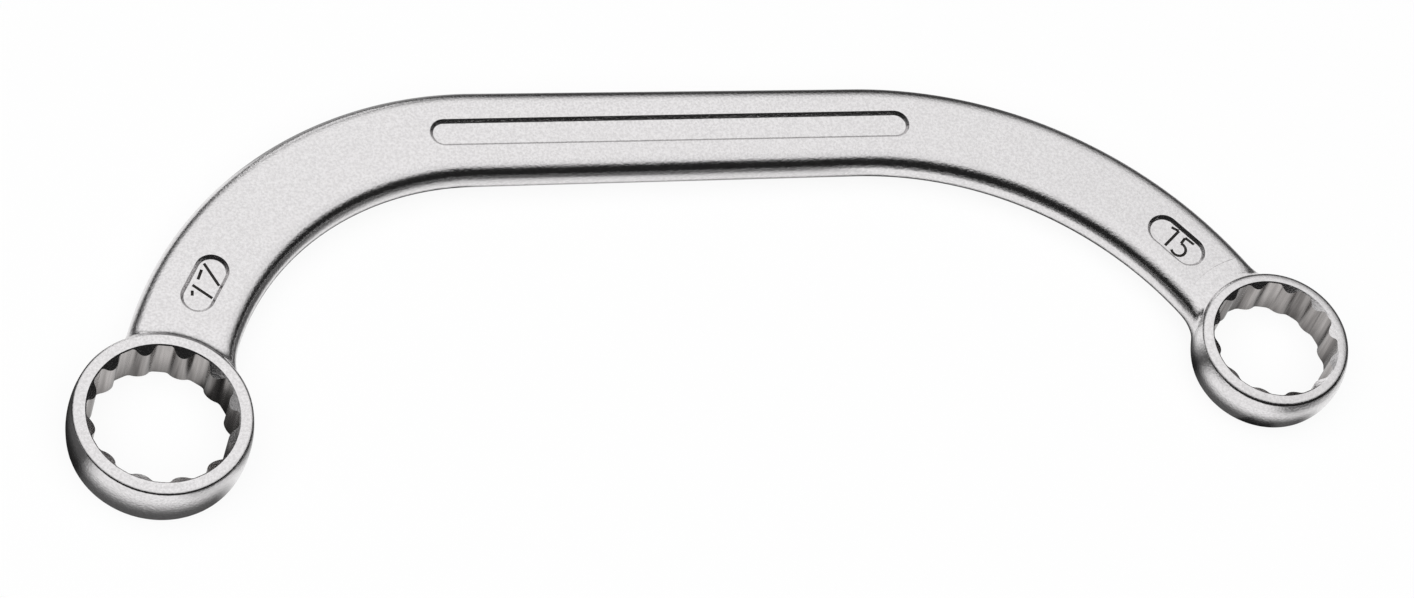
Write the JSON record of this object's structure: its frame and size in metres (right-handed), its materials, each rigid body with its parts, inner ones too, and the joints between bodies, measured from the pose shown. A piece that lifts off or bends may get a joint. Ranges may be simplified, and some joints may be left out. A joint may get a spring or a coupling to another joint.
{
  "type": "half-moon ring spanner",
  "caption": "Half-moon double-ended ring spanner: flat shank bent round in an arch between a large and a small bi-hexagon ring, for nuts behind an obstruction.",
  "frame": {"origin": "middle of the tool's outline in plan, at the height of the large ring's lower rim", "axes": "+X along the straight bar from the large ring's side to the small ring's side, +Y from the rings towards the bar, +Z out of the upper face"},
  "size_m": [0.1742, 0.0602, 0.0075],
  "materials": {
    "satin_chrome": "satin chrome plating on forged alloy steel, fine blasted grain on the faces"
  },
  "bodies": {
    "root": {"ring_head_17": "satin_chrome", "shank": "satin_chrome", "ring_head_15": "satin_chrome"}
  },
  "joints": []
}
